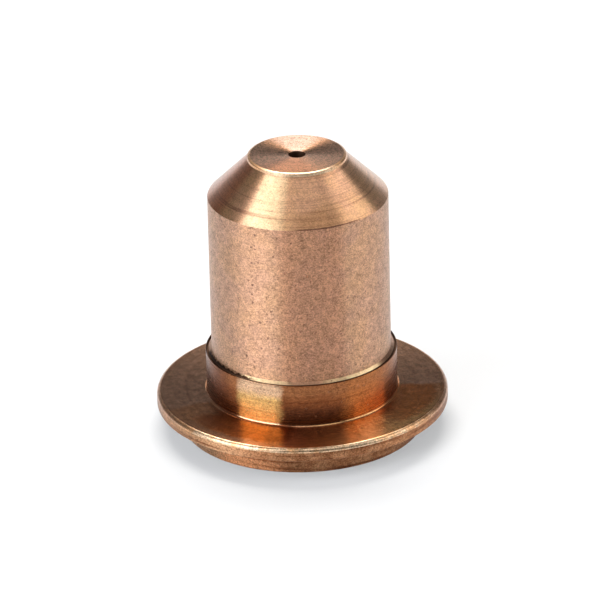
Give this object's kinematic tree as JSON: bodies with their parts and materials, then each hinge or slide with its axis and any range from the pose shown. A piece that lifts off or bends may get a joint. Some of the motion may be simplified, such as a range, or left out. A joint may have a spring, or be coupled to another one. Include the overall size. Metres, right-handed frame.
{
  "type": "plasma torch nozzle",
  "caption": "Turned copper nozzle for a plasma cutting torch: flanged seat, collar, plain barrel and conical tip, hollow from below, with a fine central orifice.",
  "frame": {"origin": "centre of the seat face that the nozzle stands on", "axes": "+Z along the nozzle's axis, from the seat to the tip; X and Y are free, because the nozzle is round"},
  "size_m": [0.018, 0.018, 0.018],
  "materials": {
    "copper": "bare turned copper, satin on the barrel"
  },
  "bodies": {
    "root": {"nozzle": "copper"}
  },
  "joints": []
}
